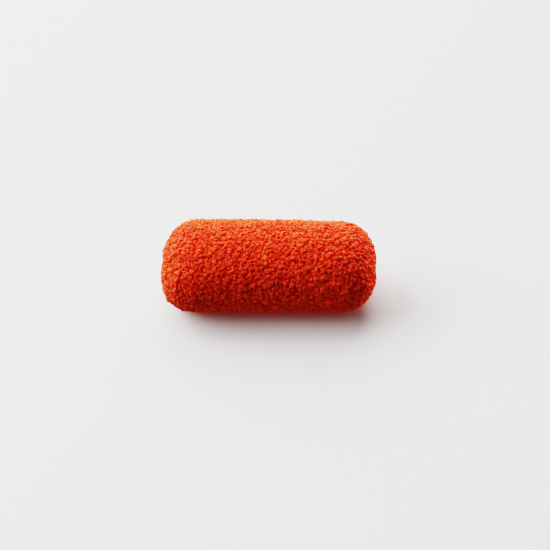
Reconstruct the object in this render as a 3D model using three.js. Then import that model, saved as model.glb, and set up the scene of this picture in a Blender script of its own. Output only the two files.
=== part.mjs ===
// A deep-fried veal croquette: one short, thick roll of set filling inside a fried crumb crust, whole and uncut.
// Millimetres. X runs along the roll, +Z is up, and the origin is the middle of the strip that the roll lies on.

import * as THREE from "three";
import { mergeVertices } from "three/addons/utils/BufferGeometryUtils.js";

// The roll, measured over the tips of its crumbs.
const LENGTH = 92;
const WIDTH = 41.4;
const HEIGHT = 39;
const REST_DEPTH = 1.5; // how much of the round underside the roll's own weight has pressed flat

// The rounded ends: a superellipse, fuller than a half ball and softer than a cut cylinder.
const END_DEPTH = 16.1;
const END_SQUARENESS = 2.47;

// How a shaped and fried roll differs from a true one.
const TAPER = 0.04; // share of its thickness that the roll loses from the -X end to the +X end
const SLUMP = { reach: 14, forward: 1.9, down: 2.3 }; // the -X tip has sunk to the front and down
const SWELL = 0.35; // height of the long, shallow waves in the side

// The crust: each crumb is a low dome, as wide and as proud of the skin as its draw says.
const CRUMB_COUNT = 2300;
const CRUMB_WIDTH = { least: 2.2, most: 4.4 };
const CRUMB_RISE = { least: 0.35, most: 1.15 };
const CRUMB_SEED = 41;

// The grid that is wrapped round the roll: cells along it, and cells across each side of the grid's square section.
const CELLS_ALONG = 53;
const CELLS_ACROSS = 21;
const CAP_REACH = 19.5; // length of skin from a tip to the edge of the grid's end face
const GRID_JITTER = 0.22; // share of a cell by which a vertex is moved, so that the facets are as uneven as crumbs
const JITTER_SEED = 7;

const CRUST_COLOUR = 0xc4380f;

const coreHalfLength = LENGTH / 2 - CRUMB_RISE.most;
const coreHalfWidth = WIDTH / 2 - CRUMB_RISE.most;
const coreHalfHeight = (HEIGHT + REST_DEPTH) / 2 - CRUMB_RISE.most;

// A stream of evenly spread numbers from 0 to 1 that is the same on every run.
function drawsFrom(seed) {
  THREE.MathUtils.seededRandom(seed);
  return () => THREE.MathUtils.seededRandom();
}

// Half of the roll's outline: from the -X tip over its shoulder, along the straight side and down to the +X tip.
// x is the place along the roll, and y is how far the skin is from the roll's middle line there.
class RollOutline extends THREE.Curve {
  constructor() {
    super();
    this.arcLengthDivisions = 900;
  }

  getPoint(t, target = new THREE.Vector2()) {
    const power = 2 / END_SQUARENESS;
    const shoulder = coreHalfLength - END_DEPTH;
    const third = Math.min(2, Math.floor(t * 3));
    const share = t * 3 - third;
    if (third === 1) return target.set(THREE.MathUtils.lerp(-shoulder, shoulder, share), coreHalfWidth);
    const turn = (third === 0 ? share : 1 - share) * (Math.PI / 2);
    const reach = shoulder + END_DEPTH * Math.max(0, Math.cos(turn)) ** power;
    return target.set(third === 0 ? -reach : reach, coreHalfWidth * Math.sin(turn) ** power);
  }
}

const outline = new RollOutline();
const outlineLength = outline.getLength();

// A point of the smooth roll, at a length of skin from the -X tip and at an angle round the roll from +Y towards +Z.
// The section is an ellipse. It shrinks towards +X while its lowest line stays level, and it sinks near the -X tip.
function skinPoint(skinLength, angle) {
  const along = outline.getPointAt(THREE.MathUtils.clamp(skinLength / outlineLength, 0, 1));
  const thickness = 1 - (TAPER * along.x) / LENGTH;
  const slump = THREE.MathUtils.clamp((SLUMP.reach - coreHalfLength - along.x) / SLUMP.reach, 0, 1) ** 2;
  const radius = along.y * thickness;
  return new THREE.Vector3(
    along.x,
    radius * Math.cos(angle) - SLUMP.forward * slump,
    radius * Math.sin(angle) * (coreHalfHeight / coreHalfWidth) + coreHalfHeight * thickness - SLUMP.down * slump,
  );
}

// The angle at which a point of the square from -1 to 1 is met, with a square's whole edge spread evenly over the turn.
function squareAngle(y, z) {
  const eighth = Math.PI / 4;
  if (y === 0 && z === 0) return 0;
  if (Math.abs(y) >= Math.abs(z)) return eighth * (z / y) + (y < 0 ? Math.PI : 0);
  return 2 * eighth - eighth * (y / z) + (z < 0 ? Math.PI : 0);
}

// A box grid wrapped round the roll. Each end face becomes a cap, with the face's middle at the tip, and the four
// sides become the roll's side, so the cells stay nearly square and nothing crowds together at the tips.
function wrappedGrid() {
  const box = new THREE.BoxGeometry(2, 2, 2, CELLS_ALONG, CELLS_ACROSS, CELLS_ACROSS);
  box.deleteAttribute("normal");
  box.deleteAttribute("uv");
  const grid = mergeVertices(box);
  const draw = drawsFrom(JITTER_SEED);
  const cellLength = outlineLength / (CELLS_ALONG + CELLS_ACROSS);
  const cellAngle = Math.PI / 2 / CELLS_ACROSS;
  const position = grid.getAttribute("position");
  for (let i = 0; i < position.count; i += 1) {
    const [x, y, z] = [position.getX(i), position.getY(i), position.getZ(i)];
    const ring = Math.max(Math.abs(y), Math.abs(z)); // 0 at the middle of an end face and 1 on the sides
    const fromTip = ring * CAP_REACH + (1 - Math.abs(x)) * (outlineLength / 2 - CAP_REACH);
    const skinLength = x < 0 ? fromTip : outlineLength - fromTip;
    const loose = ring * GRID_JITTER;
    const point = skinPoint(
      skinLength + (draw() * 2 - 1) * loose * cellLength,
      squareAngle(y, z) + (draw() * 2 - 1) * loose * cellAngle,
    );
    position.setXYZ(i, point.x, point.y, point.z);
  }
  cutShortWay(grid);
  grid.computeVertexNormals();
  return grid;
}

// Splits each four-sided cell of a box grid along its shorter diagonal. A box grid lists a cell as the two triangles
// a b d and b c d, and at the corners of its end faces that diagonal would leave three points in line.
function cutShortWay(grid) {
  const index = grid.getIndex();
  const corner = (i) => new THREE.Vector3().fromBufferAttribute(grid.getAttribute("position"), i);
  for (let i = 0; i < index.count; i += 6) {
    const [a, b, c, d] = [index.getX(i), index.getX(i + 1), index.getX(i + 4), index.getX(i + 5)];
    if (corner(a).distanceTo(corner(c)) > corner(b).distanceTo(corner(d))) continue;
    index.setXYZ(i, a, b, c);
    index.setXYZ(i + 3, a, c, d);
  }
}

// The crumbs, scattered over the skin by area: a place is drawn along the outline and kept as often as the roll is
// thick there. Most crumbs are small and a few are large.
function scatterCrumbs() {
  const draw = drawsFrom(CRUMB_SEED);
  const crumbs = [];
  while (crumbs.length < CRUMB_COUNT) {
    const skinLength = draw() * outlineLength;
    if (draw() > outline.getPointAt(skinLength / outlineLength).y / coreHalfWidth) continue;
    const size = draw() ** 1.6;
    crumbs.push({
      centre: skinPoint(skinLength, draw() * 2 * Math.PI),
      reach: THREE.MathUtils.lerp(CRUMB_WIDTH.least, CRUMB_WIDTH.most, size) / 2,
      rise: THREE.MathUtils.lerp(CRUMB_RISE.least, CRUMB_RISE.most, (size + draw()) / 2),
    });
  }
  return crumbs;
}

// How far the crust stands proud of the smooth roll at a point: the tallest of the domes that cover it.
function crumbRise(point, crumbs) {
  let rise = 0;
  for (const crumb of crumbs) {
    const away = crumb.centre.distanceToSquared(point) / crumb.reach ** 2;
    if (away < 1) rise = Math.max(rise, crumb.rise * Math.sqrt(1 - away));
  }
  return rise;
}

// The long, shallow waves that shaping leaves in the side, as the mean of three crossing ripples.
function swell(point) {
  const turn = Math.atan2(point.z - coreHalfHeight, point.y);
  const ripples =
    Math.sin(point.x / 7.5 + 2 * turn) + Math.sin(point.x / 11 - turn + 1.3) + Math.sin(3 * turn + point.x / 17 + 0.4);
  return (SWELL * ripples) / 3;
}

// The whole croquette: the wrapped grid, raised along its normals, pressed flat where it lies, and set on the origin
// at its measured size.
function croquetteGeometry() {
  const geometry = wrappedGrid();
  const crumbs = scatterCrumbs();
  const position = geometry.getAttribute("position");
  const normal = geometry.getAttribute("normal");
  const restLevel = REST_DEPTH - CRUMB_RISE.most;
  const point = new THREE.Vector3();
  const outwards = new THREE.Vector3();
  for (let i = 0; i < position.count; i += 1) {
    point.fromBufferAttribute(position, i);
    outwards.fromBufferAttribute(normal, i);
    point.addScaledVector(outwards, crumbRise(point, crumbs) + swell(point));
    position.setXYZ(i, point.x, point.y, Math.max(point.z - restLevel, 0));
  }
  geometry.computeBoundingBox();
  const middle = geometry.boundingBox.getCenter(new THREE.Vector3());
  const size = geometry.boundingBox.getSize(new THREE.Vector3());
  geometry.translate(-middle.x, -middle.y, 0);
  geometry.scale(LENGTH / size.x, WIDTH / size.y, HEIGHT / size.z);
  geometry.computeVertexNormals();
  return geometry;
}

const crust = new THREE.MeshStandardMaterial({
  color: CRUST_COLOUR,
  roughness: 0.72,
  metalness: 0,
  flatShading: true,
});

const croquette = new THREE.Mesh(croquetteGeometry(), crust);
croquette.name = "croquette";

const part = new THREE.Group();
part.name = "veal_croquette";
part.add(croquette);

export default part;
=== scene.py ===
# %% [markdown]
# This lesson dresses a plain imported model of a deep-fried veal croquette: a short, thick roll in a rough
# crumb crust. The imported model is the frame. It says where the roll lies and how large it is, and nothing
# here moves or resizes it. Everything is in metres, with X along the roll and Z up.

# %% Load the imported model
import math

import bpy
import numpy as np
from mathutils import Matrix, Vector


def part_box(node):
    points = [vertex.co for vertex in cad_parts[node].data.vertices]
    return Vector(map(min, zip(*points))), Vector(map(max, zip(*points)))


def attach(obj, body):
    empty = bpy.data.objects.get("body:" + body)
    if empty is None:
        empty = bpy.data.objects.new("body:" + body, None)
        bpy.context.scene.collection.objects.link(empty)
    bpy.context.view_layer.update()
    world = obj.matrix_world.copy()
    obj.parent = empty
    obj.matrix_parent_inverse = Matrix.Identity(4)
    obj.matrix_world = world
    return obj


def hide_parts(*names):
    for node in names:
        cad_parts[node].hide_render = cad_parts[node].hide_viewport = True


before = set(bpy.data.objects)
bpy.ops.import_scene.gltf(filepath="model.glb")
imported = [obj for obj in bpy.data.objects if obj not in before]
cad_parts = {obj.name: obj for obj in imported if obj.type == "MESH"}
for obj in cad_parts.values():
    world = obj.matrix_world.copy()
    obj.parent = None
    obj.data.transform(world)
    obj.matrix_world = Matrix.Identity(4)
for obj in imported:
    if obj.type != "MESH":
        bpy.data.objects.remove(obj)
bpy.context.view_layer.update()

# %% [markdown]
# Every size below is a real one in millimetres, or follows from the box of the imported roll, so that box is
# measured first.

MM = 0.001
low, high = (np.array(corner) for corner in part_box("croquette"))
LENGTH, WIDTH, HEIGHT = high - low
print("The roll measures", np.round((high - low) / MM, 1), "mm over the tips of its crumbs")

# %% [markdown]
# The camera looks down at the roll, square to its length, through a long lens from a metre away.
# A long lens keeps both ends the same size, as in a studio picture of food.
# The lens follows from how many pixels long the roll is in the picture. Aiming a little past the roll's
# middle puts it off centre in the picture without any lens shift.

# %% The camera
PICTURE_SIZE = 550           # pixels, each way
ROLL_LENGTH_PIXELS = 217
ROLL_MIDDLE_PIXEL = (268.9, 264.5)   # from the picture's left and top edges
CAMERA_DISTANCE = 1.0
CAMERA_ELEVATION = math.radians(41.6)
SENSOR_WIDTH = 36.0          # millimetres, as lenses are

metres_per_pixel = LENGTH / ROLL_LENGTH_PIXELS
camera_data = bpy.data.cameras.new("camera")
camera_data.sensor_width = SENSOR_WIDTH
camera_data.lens = SENSOR_WIDTH * CAMERA_DISTANCE / (metres_per_pixel * PICTURE_SIZE)
camera = bpy.data.objects.new("camera", camera_data)
bpy.context.collection.objects.link(camera)
bpy.context.scene.camera = camera

camera_back = np.array([0, -math.cos(CAMERA_ELEVATION), math.sin(CAMERA_ELEVATION)])
camera_up = np.array([0, math.sin(CAMERA_ELEVATION), math.cos(CAMERA_ELEVATION)])
pixels_right = PICTURE_SIZE / 2 - ROLL_MIDDLE_PIXEL[0]
pixels_down = PICTURE_SIZE / 2 - ROLL_MIDDLE_PIXEL[1]
aim = (low + high) / 2 - camera_up * pixels_down * metres_per_pixel
aim[0] += pixels_right * metres_per_pixel
camera.location = aim + camera_back * CAMERA_DISTANCE
camera.rotation_euler = (math.pi / 2 - CAMERA_ELEVATION, 0, 0)
print("The lens is", round(camera_data.lens, 1), "mm")

# %% [markdown]
# Two broad, round lamps light the roll, as two windows at the corner of a room would. One stands at its left
# and throws a soft shadow to the right. The broader one stands behind it, a little to the left: the top glows,
# the near flank falls away into deep red, and a wide, pale shadow comes to the front. A single lamp between
# the two would throw its shadow out to the front and right as one dark wedge. With small lamps the shadows
# would have hard edges, and each crumb would have one hard spark.
# A white card stands low on the right, a little behind the roll, and lights the right end, which the lamps
# miss. A pale, even sky fills what is left.
# Filmic colour lets the bright crumbs go paler instead of clipping them, and its strong contrast keeps the
# shade deep.

# %% Lamps, card and sky
LIGHT_DISTANCE = 1.8         # metres from the origin to each light
SKY_COLOUR = (1.0, 0.995, 0.985, 1)
SKY_STRENGTH = 0.24


def add_round_light(name, azimuth, elevation, width, power):
    """A round, flat light that faces the roll, at an azimuth from +X to +Y and an elevation, in degrees.

    Its place is LIGHT_DISTANCE times
    (cos(elevation) * cos(azimuth), cos(elevation) * sin(azimuth), sin(elevation)).
    """
    azimuth, elevation = math.radians(azimuth), math.radians(elevation)
    data = bpy.data.lights.new(name, "AREA")
    data.shape = "DISK"
    data.size = width
    data.energy = power
    light = bpy.data.objects.new(name, data)
    bpy.context.collection.objects.link(light)
    level = math.cos(elevation)
    towards = np.array([level * math.cos(azimuth), level * math.sin(azimuth), math.sin(elevation)])
    light.location = LIGHT_DISTANCE * towards
    light.rotation_euler = (math.pi / 2 - elevation, 0, azimuth + math.pi / 2)
    return light


add_round_light("left_lamp", azimuth=174, elevation=37, width=1.8, power=47)
add_round_light("back_lamp", azimuth=108, elevation=44, width=2.8, power=56)
white_card = add_round_light("white_card", azimuth=38, elevation=12, width=0.7, power=36)

world = bpy.data.worlds.new("pale_sky")
world.use_nodes = True
sky = world.node_tree.nodes["Background"]
sky.inputs["Color"].default_value = SKY_COLOUR
sky.inputs["Strength"].default_value = SKY_STRENGTH
bpy.context.scene.world = world
bpy.context.scene.view_settings.view_transform = "Filmic"
bpy.context.scene.view_settings.look = "Very High Contrast"
print("Lights:", ", ".join(light.name for light in bpy.data.lights))

# %% [markdown]
# Under the roll the crust has pressed flat, so the true roll is a little taller than the one that shows.
# Its outline from the side is a straight line between two quarters of a superellipse. That curve is fuller
# than half a circle, which would make a sausage, and softer than a cut end, which would make a cork.
# The curve is worked out once, finely, and then looked up by how far a point is along the skin from the left
# tip.

# %% The outline of the roll
CRUST_RISE = 2.3 * MM        # how far the tallest crumbs stand out of the smooth roll
REST_DEPTH = 1.5 * MM        # how much of the underside has pressed flat
END_DEPTH = 15.5 * MM        # how far in from its tip an end is rounded
END_SQUARENESS = 2.49        # 2 would make the ends quarters of an ellipse, and more makes them squarer
TAPER = 0.04                 # share of its thickness that the roll loses from its left end to its right end
OUTLINE_STEPS = 600          # points on each end's curve

core_half_length = LENGTH / 2 - CRUST_RISE
core_half_width = WIDTH / 2 - CRUST_RISE
core_half_height = (HEIGHT + REST_DEPTH) / 2 - CRUST_RISE
turns = np.linspace(0, math.pi / 2, OUTLINE_STEPS)
cap_x = core_half_length - END_DEPTH + END_DEPTH * np.cos(turns) ** (2 / END_SQUARENESS)
cap_radius = core_half_width * np.sin(turns) ** (2 / END_SQUARENESS)
outline_x = np.concatenate([-cap_x, cap_x[::-1]])
outline_radius = np.concatenate([cap_radius, cap_radius[::-1]])
outline_skin = np.concatenate([[0], np.cumsum(np.hypot(np.diff(outline_x), np.diff(outline_radius)))])
skin_length = outline_skin[-1]
print("From tip to tip the skin is", round(skin_length / MM, 1), "mm long")

# %% [markdown]
# A roll that was shaped by hand or by a drum and then fried isn't a true solid of revolution. This one is a
# little thinner towards the right, its left tip has sunk forward and down, and long shallow waves run round
# its side. Each of these is one short formula on whole arrays of points.

# %% The smooth roll as a surface
SLUMP_REACH = 14 * MM        # how far in from the left tip the roll has sunk
SLUMP_FORWARD = 1.9 * MM
SLUMP_DOWN = 2.3 * MM
SWELL = 0.35 * MM            # the most that the waves add or take away
WAVES = (                    # spread in millimetres, rounds and start of each wave
    (7.5, 2, 0.0),
    (11, -1, 1.3),
    (17, 3, 0.4),
)
NORMAL_STEP = 0.2 * MM       # how far before and after a point the outline's climb is measured


def roll_surface(skin, turn):
    """Points of the smooth roll, and the directions that face out of it, for arrays of places on the skin.

    skin is the way along the skin from the left tip, and turn is the angle round the roll from +Y to +Z.
    The section is an ellipse whose radius comes from the outline, times 1 - TAPER * x / LENGTH, and its
    lowest line stays level. Near the left tip it moves forward and down by t**2, where t grows evenly to 1
    at the tip. The directions come from how the outline climbs between a little before a point and a little
    after it. The waves are the mean of three ripples that cross, each the sine of
    x / spread + rounds * angle + start, and they move the points along these directions.
    """
    x = np.interp(skin, outline_skin, outline_x)
    thickness = 1 - TAPER * x / LENGTH
    radius = np.interp(skin, outline_skin, outline_radius) * thickness
    slump = np.clip((SLUMP_REACH - core_half_length - x) / SLUMP_REACH, 0, 1) ** 2
    y = radius * np.cos(turn) - SLUMP_FORWARD * slump
    z = radius * np.sin(turn) * core_half_height / core_half_width - SLUMP_DOWN * slump
    points = np.stack([x, y, z + core_half_height * thickness], axis=-1)
    before, after = skin - NORMAL_STEP, skin + NORMAL_STEP
    run = np.interp(after, outline_skin, outline_x) - np.interp(before, outline_skin, outline_x)
    climb = np.interp(after, outline_skin, outline_radius) - np.interp(before, outline_skin, outline_radius)
    outward = np.stack([-climb, run * np.cos(turn), run * np.sin(turn)], axis=-1)
    outward /= np.linalg.norm(outward, axis=-1, keepdims=True)
    angle = np.arctan2(points[..., 2] - core_half_height, points[..., 1])
    x_mm = points[..., 0] / MM
    ripples = sum(np.sin(x_mm / spread + rounds * angle + start) for spread, rounds, start in WAVES)
    points += outward * (SWELL * ripples / len(WAVES))[..., None]
    points[..., 2] -= REST_DEPTH - CRUST_RISE
    return points, outward


middle_top, _ = roll_surface(np.array([skin_length / 2]), np.array([math.pi / 2]))
print("In its middle the smooth roll is", round(middle_top[0, 2] / MM, 1), "mm high")

# %% [markdown]
# The skin is the batter and fine meal that the crumbs stick to. It shows only in the gaps between them, but
# the crumbs ride on its ups and downs, so it sets how clumpy the whole crust looks. Noise textures could
# push it in and out in the render, but then the mesh itself would stay smooth. Here the lumps are worked out
# as heights: space is cut into small cubes, each cube holds one lump at a random place, and a point of the
# skin stands on the dome of the lump that is nearest to it. Three sizes of lump on top of each other give
# clumps, bumps and meal.

# %% Lumps
LUMP_TABLE = 32              # the random places repeat after this many cubes
LUMP_REACH = 0.8             # radius of a lump's dome, as a share of its pitch
LUMP_SIZES = (               # pitch, rise and seed of clumps, bumps and meal
    (5.0 * MM, 0.50 * MM, 3),
    (2.6 * MM, 0.40 * MM, 4),
    (1.1 * MM, 0.25 * MM, 5),
)


def lumps(points, pitch, seed):
    """Heights from 0 to 1 at points, as domes over the nearest lumps: the root of 1 - (d / r)**2.

    d is the distance to the nearest lump, and r is LUMP_REACH times the pitch. One lump lies at a random
    place in each cube of side pitch.
    """
    places = np.random.default_rng(seed).random((LUMP_TABLE, LUMP_TABLE, LUMP_TABLE, 3))
    scaled = points / pitch
    cube = np.floor(scaled).astype(int)
    nearest = np.full(points.shape[:-1], np.inf)
    for step in np.ndindex(3, 3, 3):
        neighbour = cube + np.array(step) - 1
        wrapped = neighbour % LUMP_TABLE
        lump = neighbour + places[wrapped[..., 0], wrapped[..., 1], wrapped[..., 2]]
        nearest = np.minimum(nearest, ((scaled - lump) ** 2).sum(axis=-1))
    return np.sqrt(np.clip(1 - nearest / LUMP_REACH**2, 0, 1))


def skin_rise(points):
    """How far the skin stands out of the smooth roll at points: the sum of its three sizes of lump."""
    return sum(rise * lumps(points, pitch, seed) for pitch, rise, seed in LUMP_SIZES)


print("Lumps raise the skin by up to", round(sum(rise for _, rise, _ in LUMP_SIZES) / MM, 2), "mm")

# %% [markdown]
# The skin is a grid of rings round the roll, closed by a fan of triangles at each tip. What lies lower than
# the pressed strip is lifted to it.
# How proud of the roll each point stands is kept with it, because the shaders paint shade with it: the lower a
# place lies, the darker and redder its painted colour, and the prouder, the lighter. They read it later under
# the name lift.

# %% The skin's mesh
SKIN_RINGS = 270
SKIN_SIDES = 330
PRESSED_SKIN = 0.15 * MM     # the skin stays this far above the floor, and its crumbs touch down
FULL_LIFT = 1.6 * MM         # a point as proud as this has a lift of 1


def closed_tube(rings, sides):
    """Triangles of a tube of rings * sides vertices, ring by ring, and then its first and its last tip."""
    here = np.arange(rings * sides).reshape(rings, sides)
    beside = np.roll(here, -1, axis=1)
    a, b, c, d = here[:-1], here[1:], beside[1:], beside[:-1]
    first_tip, last_tip = rings * sides, rings * sides + 1
    return np.concatenate([
        np.stack([a, d, b], axis=-1).reshape(-1, 3),
        np.stack([b, d, c], axis=-1).reshape(-1, 3),
        np.stack([beside[0], here[0], np.full(sides, first_tip)], axis=-1),
        np.stack([here[-1], beside[-1], np.full(sides, last_tip)], axis=-1),
    ])


def skin_shape():
    """Vertices, triangles and lift of the skin: the smooth roll, raised outwards by its lumps."""
    skin = np.linspace(0, skin_length, SKIN_RINGS + 2)[1:-1]
    turn = np.arange(SKIN_SIDES) * 2 * math.pi / SKIN_SIDES
    skin_grid, turn_grid = (grid.ravel() for grid in np.meshgrid(skin, turn, indexing="ij"))
    skin_all = np.concatenate([skin_grid, [0, skin_length]])
    turn_all = np.concatenate([turn_grid, [0, 0]])
    points, outward = roll_surface(skin_all, turn_all)
    rise = skin_rise(points)
    points += outward * rise[:, None]
    points[:, 2] = np.maximum(points[:, 2], PRESSED_SKIN)
    return points, closed_tube(SKIN_RINGS, SKIN_SIDES), rise / FULL_LIFT


skin_points, skin_triangles, skin_lift = skin_shape()
print("The skin has", len(skin_triangles), "triangles")

# %% [markdown]
# Crumbs are what the eye sees. They could be instances scattered by a particle system or by Geometry Nodes,
# but plain joined meshes keep every crumb in an export, and numpy makes all twenty thousand of them in a
# second or two.
# They are laid out as seeds are in a sunflower: each one turns by the golden angle from the last, and moves
# on along the skin by an equal share of its area. That covers the roll evenly, and a random shift of less
# than the space between two crumbs hides the pattern. With a larger shift they would pile up here and leave
# the skin bare there.

# %% Where the crumbs sit
GOLDEN_ANGLE = math.pi * (3 - math.sqrt(5))
SHIFT = 0.45                 # the most that a crumb moves, as a share of the space it has to itself
ring_area = np.diff(outline_skin) * (outline_radius[1:] + outline_radius[:-1])
outline_area = np.concatenate([[0], np.cumsum(ring_area)])
outline_area /= outline_area[-1]


def sunflower(count, random):
    """Places for count crumbs, as ways along the skin and angles round the roll.

    Crumb i lies where the share (i + 0.5) / count of the skin's area is behind it, turned by i golden
    angles. Both are then moved at random, by up to SHIFT of the side of the square that each crumb has to
    itself.
    """
    shift = SHIFT * math.sqrt(2 * math.pi * core_half_width * skin_length / count)
    share = (np.arange(count) + 0.5) / count
    skin = np.interp(share, outline_area, outline_skin) + random.uniform(-shift, shift, count)
    skin = np.clip(skin, 0, skin_length)
    radius = np.maximum(np.interp(skin, outline_skin, outline_radius), shift)
    turn = np.arange(count) * GOLDEN_ANGLE + random.uniform(-shift, shift, count) / radius
    return skin, turn


print("The golden angle is", round(math.degrees(GOLDEN_ANGLE), 2), "degrees")

# %% [markdown]
# One crumb is a ball of a few rings that has been stretched and tilted, with every corner pushed in or out,
# so that its flat faces look broken and not rolled. It has only 8 to 56 faces, because there are thousands
# of crumbs and most are well under two millimetres across.
# A crumb needs three directions of its own. Crossing two directions gives a third that is square to both,
# but not where the two are nearly the same, so crumbs that face almost straight up or down are crossed with
# X and all others with Z.

# %% A ball, and the directions of a crumb
STEEP = 0.9                  # a direction with a larger Z than this is too steep to be crossed with Z


def ball(rings, sides):
    """A ball of radius 1 with its poles at +Z and -Z, as vertices and triangles."""
    polar = (np.arange(rings) + 1) * math.pi / (rings + 1)
    turn = np.arange(sides) * 2 * math.pi / sides
    polar, turn = (grid.ravel() for grid in np.meshgrid(polar, turn, indexing="ij"))
    around = np.stack([np.sin(polar) * np.cos(turn), np.sin(polar) * np.sin(turn), np.cos(polar)], axis=-1)
    return np.concatenate([around, [[0, 0, 1], [0, 0, -1]]]), closed_tube(rings, sides)[:, ::-1]


def unit(vectors):
    """The same directions with a length of 1."""
    return vectors / np.linalg.norm(vectors, axis=-1, keepdims=True)


def crumb_axes(outward, tilt, random):
    """Three directions for each crumb: along it, across it and up through it.

    along is a random heading in the skin, leaned out of it by up to tilt, and across is square to it in
    the skin.
    """
    upright = np.abs(outward[:, 2:]) > STEEP
    sideways = unit(np.cross(outward, np.where(upright, [1.0, 0, 0], [0, 0, 1.0])))
    heading = random.uniform(0, 2 * math.pi, (len(outward), 1))
    lean = random.uniform(-tilt, tilt, (len(outward), 1))
    along = sideways * np.cos(heading) + np.cross(outward, sideways) * np.sin(heading)
    along = along * np.cos(lean) + outward * np.sin(lean)
    across = unit(np.cross(outward, along))
    return np.stack([along, across, np.cross(along, across)], axis=1)


print("The plainest crumb has", len(ball(1, 4)[1]), "faces, and the finest has", len(ball(4, 7)[1]))

# %% [markdown]
# The crumbs that face the back lamp, on the top at the back and a little to the left, are painted sandy, as
# painted light. The left end, which faces the left lamp, is painted a lighter orange, as painted light too.
# How pale a crumb is could be painted by the shader from its normal, but each crumb should be pale as a whole.
# So this painted light is worked out here, once for each crumb, and kept with it as an attribute that the
# shader reads.

# %% How much painted light a crumb gets
# The first direction below points at the back lamp, and crumbs that face it get painted light. The last share
# paints light on the left end, which faces the left lamp.
BACK_LAMP_SIDE = (-0.25, 0.71, 0.66)   # the direction that stayed highest in the fat
PAINTED_LIGHT_MOST = 0.38             # what the palest crumb of that side has of the pale colour
PAINTED_LIGHT_POWER = 10              # the higher it is, the narrower the pale side
PAINTED_LIGHT_LEFT_END = 0.12              # what the left tip has of it


def painted_light_share(outward, random):
    """How pale crumbs are: PAINTED_LIGHT_MOST * c**PAINTED_LIGHT_POWER * the root of a random number + PAINTED_LIGHT_LEFT_END * e.

    c is the cosine of the angle between a crumb's outward direction and BACK_LAMP_SIDE, and 0 on the far side.
    e is the cosine of its angle to -X, and 0 on the right half. The random number goes from 0 to 1.
    """
    nearness = np.clip(outward @ np.array(BACK_LAMP_SIDE), 0, 1)
    leftness = np.clip(-outward[:, 0], 0, 1)
    sandy = PAINTED_LIGHT_MOST * nearness**PAINTED_LIGHT_POWER * np.sqrt(random.random(len(outward)))
    return sandy + PAINTED_LIGHT_LEFT_END * leftness


# %% [markdown]
# All crumbs of one kind are made together, as arrays with a row for each crumb. Each sits on the lumps of
# the skin below it. What would reach below the surface that the roll lies on is pressed flat against it.

# %% How the crumbs of one kind are made
DENT = 0.25                  # share of its radius by which a corner of a crumb is pushed in or out
LOWEST_MIDDLE = 0.3 * MM     # crumbs under the roll have been pushed up at least this far


def crumbs(count, size, stretch, depth, seat, tilt, rings, sides, seed):
    """Vertices, triangles, lift, toast and share of painted light of count crumbs of one kind.

    size is the range of widths, stretch of length over width, depth of thickness over width, seat of how
    high the middle sits on the skin, and tilt is the steepest lean, in radians. Small ones are more common,
    because the share of the way through the range is the square of a random number. Each crumb has its own
    random toast from 0 to 1. A corner of the ball, u, is pushed in or out by up to DENT, and goes to
    middle + (along * u.x * length + across * u.y * width + up * u.z * thickness) / 2.
    """
    random = np.random.default_rng(seed)
    skin, turn = sunflower(count, random)
    middle, outward = roll_surface(skin, turn)
    seat_height = skin_rise(middle) + random.uniform(*seat, count)
    middle = middle + outward * seat_height[:, None]
    middle[:, 2] = np.maximum(middle[:, 2], LOWEST_MIDDLE)
    width = size[0] + (size[1] - size[0]) * random.random(count) ** 2
    length = width * random.uniform(*stretch, count)
    thickness = width * random.uniform(*depth, count)
    reach = np.stack([length, width, thickness], axis=1)
    corners, triangles = ball(rings, sides)
    dents = 1 + random.uniform(-DENT, DENT, (count, len(corners), 1))
    local = corners * dents * reach[:, None] / 2
    points = middle[:, None] + local @ crumb_axes(outward, tilt, random)
    points[..., 2] = np.maximum(points[..., 2], 0)
    proud = seat_height[:, None] + np.einsum("ijk,ik->ij", points - middle[:, None], outward)
    faces = triangles[None] + (np.arange(count) * len(corners))[:, None, None]
    toast = np.repeat(random.random(count), len(corners))
    painted_light = np.repeat(painted_light_share(outward, random), len(corners))
    return points.reshape(-1, 3), faces.reshape(-1, 3), (proud / FULL_LIFT).ravel(), toast, painted_light


# %% [markdown]
# Seen close, the crust mixes several grades of crumb: coarse ones here and there, a main layer of
# middle-sized granules that covers almost everything, slivers that lie or stand between them, and small bits
# on all of these. Most are about as tall as they are wide, or taller, so that each shows as a grain with a
# dark gap round it. Flat crumbs were tried first, and they ran together into something like clay. Each grade
# is one mesh.

# %% The kinds of crumb
KINDS = {
    "coarse_crumbs": dict(
        count=1600, size=(1.8 * MM, 2.5 * MM), stretch=(1.0, 1.3), depth=(0.75, 0.95),
        seat=(-0.1 * MM, 0.2 * MM), tilt=0.4, rings=4, sides=7, seed=11),
    "middle_crumbs": dict(
        count=5600, size=(1.15 * MM, 1.75 * MM), stretch=(1.0, 1.3), depth=(0.9, 1.25),
        seat=(-0.1 * MM, 0.25 * MM), tilt=0.6, rings=3, sides=5, seed=12),
    "crumb_slivers": dict(
        count=1500, size=(0.45 * MM, 0.7 * MM), stretch=(1.6, 2.4), depth=(0.7, 1.0),
        seat=(0.1 * MM, 0.5 * MM), tilt=1.0, rings=3, sides=5, seed=13),
    "small_crumbs": dict(
        count=6500, size=(0.5 * MM, 0.95 * MM), stretch=(1.0, 1.3), depth=(0.9, 1.4),
        seat=(0.0 * MM, 0.45 * MM), tilt=0.9, rings=2, sides=5, seed=14),
    "crumb_grit": dict(
        count=5000, size=(0.35 * MM, 0.55 * MM), stretch=(1.0, 1.4), depth=(0.8, 1.0),
        seat=(0.2 * MM, 0.8 * MM), tilt=1.2, rings=1, sides=4, seed=15),
}
crumb_shapes = {name: crumbs(**kind) for name, kind in KINDS.items()}
for name, (_, triangles, *_) in crumb_shapes.items():
    print(name, "has", KINDS[name]["count"], "crumbs and", len(triangles), "triangles")

# %% [markdown]
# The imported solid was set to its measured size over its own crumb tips. So that the dressed roll has exactly
# that size too, everything made above is scaled together, by less than half a millimetre each way.

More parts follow.
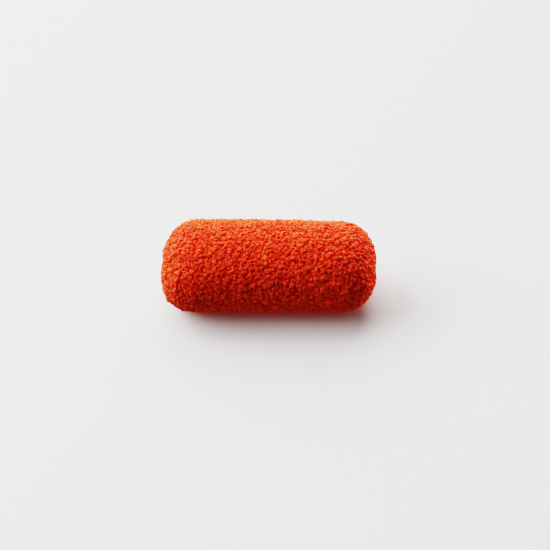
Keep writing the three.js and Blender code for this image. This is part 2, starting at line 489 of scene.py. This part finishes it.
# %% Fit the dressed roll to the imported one
skin_toast = np.full(len(skin_points), 0.5)
skin_painted_light = np.zeros(len(skin_points))
skin_parts = (skin_points, skin_triangles, skin_lift, skin_toast, skin_painted_light)
shapes = {"crust_skin": skin_parts, **crumb_shapes}
lowest = np.min([shape[0].min(axis=0) for shape in shapes.values()], axis=0)
highest = np.max([shape[0].max(axis=0) for shape in shapes.values()], axis=0)
stretch_to_fit = (high - low) / (highest - lowest)
print("Before the fit the dressed roll measured", np.round((highest - lowest) / MM, 2), "mm")

# %% [markdown]
# Both shaders below are built as node groups, and most of their nodes are of four kinds: noise, a range that
# is mapped to 0 to 1, a multiply-add and a mix of two colours. One helper makes each kind and links it up.

# %% Helpers for node groups
def new_group(name, inputs, outputs):
    """An empty shader node group with its sockets, and its input and output nodes.

    inputs is a list of (name, kind, value), and outputs of (name, kind).
    """
    group = bpy.data.node_groups.new(name, "ShaderNodeTree")
    for label, kind, value in inputs:
        socket = group.interface.new_socket(label, in_out="INPUT", socket_type=kind)
        socket.default_value = value
    for label, kind in outputs:
        group.interface.new_socket(label, in_out="OUTPUT", socket_type=kind)
    return group, group.nodes.new("NodeGroupInput"), group.nodes.new("NodeGroupOutput")


def add_noise(group, scale, detail):
    """Noise over the object's own coordinates, with about scale patches to a metre."""
    place = group.nodes.new("ShaderNodeTexCoord")
    node = group.nodes.new("ShaderNodeTexNoise")
    node.inputs["Scale"].default_value = scale
    node.inputs["Detail"].default_value = detail
    group.links.new(place.outputs["Object"], node.inputs["Vector"])
    return node.outputs["Fac"]


def add_range(group, value, start, end, easing="LINEAR"):
    """A node that turns a value into 0 at start and 1 at end, and holds it beyond them."""
    node = group.nodes.new("ShaderNodeMapRange")
    node.interpolation_type = easing
    node.inputs["From Min"].default_value = start
    node.inputs["From Max"].default_value = end
    group.links.new(value, node.inputs["Value"])
    return node


def add_multiply_add(group, value, factor, addend):
    """value * factor + addend."""
    node = group.nodes.new("ShaderNodeMath")
    node.operation = "MULTIPLY_ADD"
    for source, socket in zip((value, factor, addend), node.inputs):
        group.links.new(source, socket)
    return node.outputs["Value"]


def add_mix(group, share, first, second):
    """The first colour where share is 0, and the second where it is 1."""
    node = group.nodes.new("ShaderNodeMix")
    node.data_type = "RGBA"
    group.links.new(share, node.inputs["Factor"])
    group.links.new(first, node.inputs["A"])
    group.links.new(second, node.inputs["B"])
    return node.outputs["Result"]


# %% [markdown]
# Frying colours a crumb crust unevenly: some crumbs are simply more orange than others, and the colour drifts
# in small patches. On top of that, light and shade are painted in. Gaps between crumbs get a darker, deep red
# colour as painted shade, tips that stand proud a lighter orange as painted light, and the crumbs that face
# the lamps are painted sandy. The skin and the crumbs both need this, so it is built once, as a node group
# with inputs. How far a place has gone from gap to body colour follows from lift + patchiness * drift, and how
# far it has gone from body to tip colour follows from the same sum plus variety * toast.

# %% The crust colour and painted light group
DRIFT_SCALE = 170            # patches to a metre, so about 6 mm each
DRIFT_NOISE = (0.25, 0.75)   # nearly all of this noise lies between these two
GAP_SHADE_TO_BODY = (-0.5, 1.1)    # the sums at which the change of colour starts and ends
BODY_TO_TIP = (0.6, 2.0)

crust_colour_and_painted_light, given, result = new_group(
    "crust_colour_and_painted_light",
    [
        ("Lift", "NodeSocketFloat", 0.5),
        ("Toast", "NodeSocketFloat", 0.5),
        ("Painted_Light", "NodeSocketFloat", 0.0),
        ("Gap Shade Colour", "NodeSocketColor", (0.64, 0.038, 0.018, 1)),
        ("Body Colour", "NodeSocketColor", (0.83, 0.054, 0.016, 1)),
        ("Tip Colour", "NodeSocketColor", (0.93, 0.073, 0.016, 1)),
        ("Painted Light Colour", "NodeSocketColor", (0.85, 0.26, 0.09, 1)),
        ("Patchiness", "NodeSocketFloat", 0.8),
        ("Variety", "NodeSocketFloat", 0.3),
    ],
    [("Colour", "NodeSocketColor")],
)
drift = add_range(crust_colour_and_painted_light, add_noise(crust_colour_and_painted_light, DRIFT_SCALE, detail=3), *DRIFT_NOISE)
drift.inputs["To Min"].default_value = -1
drifted = add_multiply_add(
    crust_colour_and_painted_light, drift.outputs["Result"], given.outputs["Patchiness"], given.outputs["Lift"])
toasted = add_multiply_add(crust_colour_and_painted_light, given.outputs["Toast"], given.outputs["Variety"], drifted)
# Low lift gives the darker gap colour, as painted shade, and high lift the lighter tip colour, as painted
# light.
body_share = add_range(crust_colour_and_painted_light, drifted, *GAP_SHADE_TO_BODY, easing="SMOOTHSTEP")
tip_share = add_range(crust_colour_and_painted_light, toasted, *BODY_TO_TIP, easing="SMOOTHSTEP")
body = add_mix(
    crust_colour_and_painted_light, body_share.outputs["Result"], given.outputs["Gap Shade Colour"], given.outputs["Body Colour"])
tips = add_mix(crust_colour_and_painted_light, tip_share.outputs["Result"], body, given.outputs["Tip Colour"])
# Last, the painted light of the sides that face the lamps mixes in the pale colour.
pale = add_mix(crust_colour_and_painted_light, given.outputs["Painted_Light"], tips, given.outputs["Painted Light Colour"])
crust_colour_and_painted_light.links.new(pale, result.inputs["Colour"])
print("The frying colour group has", len(crust_colour_and_painted_light.nodes), "nodes")

# %% [markdown]
# A crumb just out of the fat is dry bread with a film of oil in places. Oil shows as a softer or sharper
# shine, so it goes into the roughness, and the broken bread shows as a fine grain in the normal.

# %% The oily grain group
FILM_SCALE = 260             # patches of oil to a metre, so about 4 mm each
FILM_NOISE = (0.35, 0.65)    # below the first it is dry, and above the second it is oily
GRAIN_SCALE = 2200           # grains to a metre, so about half a millimetre each
GRAIN_HEIGHT = 0.12 * MM

oily_grain, given, result = new_group(
    "oily_grain",
    [
        ("Dry Roughness", "NodeSocketFloat", 0.95),
        ("Oily Roughness", "NodeSocketFloat", 0.78),
        ("Grain Depth", "NodeSocketFloat", 0.6),
    ],
    [("Roughness", "NodeSocketFloat"), ("Normal", "NodeSocketVector")],
)
shine = add_range(oily_grain, add_noise(oily_grain, FILM_SCALE, detail=2), *FILM_NOISE)
oily_grain.links.new(given.outputs["Dry Roughness"], shine.inputs["To Min"])
oily_grain.links.new(given.outputs["Oily Roughness"], shine.inputs["To Max"])
oily_grain.links.new(shine.outputs["Result"], result.inputs["Roughness"])
bump = oily_grain.nodes.new("ShaderNodeBump")
bump.inputs["Distance"].default_value = GRAIN_HEIGHT
oily_grain.links.new(given.outputs["Grain Depth"], bump.inputs["Strength"])
oily_grain.links.new(add_noise(oily_grain, GRAIN_SCALE, detail=3), bump.inputs["Height"])
oily_grain.links.new(bump.outputs["Normal"], result.inputs["Normal"])
print("The oily grain group has", len(oily_grain.nodes), "nodes")

# %% [markdown]
# Bread lets light in: some of it, mostly the red, comes out again about a millimetre away. That is the
# subsurface share, and it makes the gaps between crumbs glow deep red where plain paint would go black. Dry
# bread also turns paler when it is seen at a grazing angle, as along the top edge of the roll, and that is
# the sheen.
# The skin, the crumbs and the small crumbs are three mixes of the same finish. The smaller a crumb is, the
# more it has dried out and browned, so it is a little more orange and less oily.

# %% The materials
BREAD = {
    "Specular IOR Level": 0.28,
    "Subsurface Weight": 0.8,
    "Subsurface Radius": (1.0, 0.35, 0.15),   # how far red, green and blue go, as shares of the scale
    "Subsurface Scale": 1.2 * MM,
    "Sheen Weight": 0.24,
    "Sheen Roughness": 0.35,
    "Sheen Tint": (1.0, 0.68, 0.40, 1),
}


def crust_material(name, gap, body, tip, roughness, grain_depth):
    """A fried finish: the frying colour group and the oily grain group, feeding one Principled shader.

    roughness is that of its dry and of its oily places.
    """
    material = bpy.data.materials.new(name)
    material.use_nodes = True
    nodes, links = material.node_tree.nodes, material.node_tree.links
    shader = nodes["Principled BSDF"]
    for label, value in BREAD.items():
        shader.inputs[label].default_value = value
    colour = nodes.new("ShaderNodeGroup")
    colour.node_tree = crust_colour_and_painted_light
    for label, value in (("Gap Shade Colour", gap), ("Body Colour", body), ("Tip Colour", tip)):
        colour.inputs[label].default_value = (*value, 1)
    for label in ("Lift", "Toast", "Painted_Light"):
        attribute = nodes.new("ShaderNodeAttribute")
        attribute.attribute_name = label.lower()
        links.new(attribute.outputs["Fac"], colour.inputs[label])
    surface = nodes.new("ShaderNodeGroup")
    surface.node_tree = oily_grain
    surface.inputs["Dry Roughness"].default_value = roughness[0]
    surface.inputs["Oily Roughness"].default_value = roughness[1]
    surface.inputs["Grain Depth"].default_value = grain_depth
    links.new(colour.outputs["Colour"], shader.inputs["Base Color"])
    links.new(surface.outputs["Roughness"], shader.inputs["Roughness"])
    links.new(surface.outputs["Normal"], shader.inputs["Normal"])
    return material


# In each finish the gap colour is painted shade and the tip colour painted light on the proud tips.
skin_finish = crust_material(
    "fried_skin", gap=(0.54, 0.028, 0.014), body=(0.66, 0.034, 0.013), tip=(0.75, 0.045, 0.013),
    roughness=(0.95, 0.8), grain_depth=0.6)
crumb_finish = crust_material(
    "fried_crumb", gap=(0.64, 0.038, 0.018), body=(0.83, 0.054, 0.016), tip=(0.93, 0.073, 0.016),
    roughness=(0.95, 0.78), grain_depth=0.6)
small_crumb_finish = crust_material(
    "fried_small_crumb", gap=(0.66, 0.042, 0.018), body=(0.84, 0.058, 0.016), tip=(0.93, 0.078, 0.017),
    roughness=(0.95, 0.85), grain_depth=0.5)
finishes = (skin_finish, crumb_finish, small_crumb_finish)
print("The finishes are", ", ".join(finish.name for finish in finishes))

# %% [markdown]
# A mesh can take its corners, its triangles and a number for each corner as whole arrays, which is far
# quicker than adding crumbs one by one. The numbers are the attributes that the shaders read.
# The skin is shaded smooth. The crumbs are shaded flat, because they are broken bread: smoothed over, they
# would look like clay.

# %% Put the shapes into meshes
def add_piece(name, points, triangles, lift, toast, painted_light, material):
    """A piece of the crust as a mesh at the origin, with three numbers kept on each of its vertices."""
    fitted = low + (points - lowest) * stretch_to_fit
    mesh = bpy.data.meshes.new(name)
    mesh.vertices.add(len(fitted))
    mesh.vertices.foreach_set("co", fitted.astype(np.float32).ravel())
    mesh.loops.add(triangles.size)
    mesh.loops.foreach_set("vertex_index", triangles.astype(np.int32).ravel())
    mesh.polygons.add(len(triangles))
    mesh.polygons.foreach_set("loop_start", np.arange(0, triangles.size, 3, dtype=np.int32))
    mesh.update(calc_edges=True)
    for label, values in (("lift", lift), ("toast", toast), ("painted_light", painted_light)):
        attribute = mesh.attributes.new(label, "FLOAT", "POINT")
        attribute.data.foreach_set("value", values.astype(np.float32))
    mesh.materials.append(material)
    piece = bpy.data.objects.new(name, mesh)
    bpy.context.collection.objects.link(piece)
    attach(piece, "root")
    return piece


FINISHES = {
    "crust_skin": skin_finish,
    "small_crumbs": small_crumb_finish,
    "crumb_grit": small_crumb_finish,
}
made = {name: add_piece(name, *shape, FINISHES.get(name, crumb_finish)) for name, shape in shapes.items()}
for name, piece in made.items():
    if name == "crust_skin":
        piece.data.shade_smooth()
    else:
        piece.data.shade_flat()
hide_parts("croquette")
print("The pieces are", ", ".join(made))

# %% [markdown]
# The card is there for the roll, and in a studio a flag would keep its light off the shadow on the floor.
# Light linking does the same without a flag: the card lights the pieces of the crust and nothing else.

# %% Keep the card's light off the floor
lit_by_card = bpy.data.collections.new("lit_by_card")
for piece in made.values():
    lit_by_card.objects.link(piece)
white_card.light_linking.receiver_collection = lit_by_card

# %% [markdown]
# The floor is a plain pale sheet, so wide that even from low down its far edge is only a soft line.
# A white floor this close throws so much light back up that the shaded flank would glow as if lit from
# below. A darker floor would cure that and spoil the picture, so instead the floor is hidden from the rays
# that carry bounced light, and from those that test for shade, so that the even sky can reach the roll from
# below as well. It still shows, still takes the roll's shadow, and is still seen in the shine of the crumbs.

# %% The floor
FLOOR_HALF = 12              # metres from its middle to each of its edges
FLOOR_COLOUR = (0.79, 0.785, 0.78, 1)
FLOOR_ROUGHNESS = 0.6

floor_mesh = bpy.data.meshes.new("floor")
floor_corners = [(x * FLOOR_HALF, y * FLOOR_HALF, 0) for x, y in ((-1, -1), (1, -1), (1, 1), (-1, 1))]
floor_mesh.from_pydata(floor_corners, [], [(0, 1, 2, 3)])
floor = bpy.data.objects.new("floor", floor_mesh)
bpy.context.collection.objects.link(floor)
floor_finish = bpy.data.materials.new("pale_floor")
floor_finish.use_nodes = True
floor_shader = floor_finish.node_tree.nodes["Principled BSDF"]
floor_shader.inputs["Base Color"].default_value = FLOOR_COLOUR
floor_shader.inputs["Roughness"].default_value = FLOOR_ROUGHNESS
floor_mesh.materials.append(floor_finish)
floor.visible_diffuse = False
floor.visible_shadow = False
print("The floor is", 2 * FLOOR_HALF, "m wide")
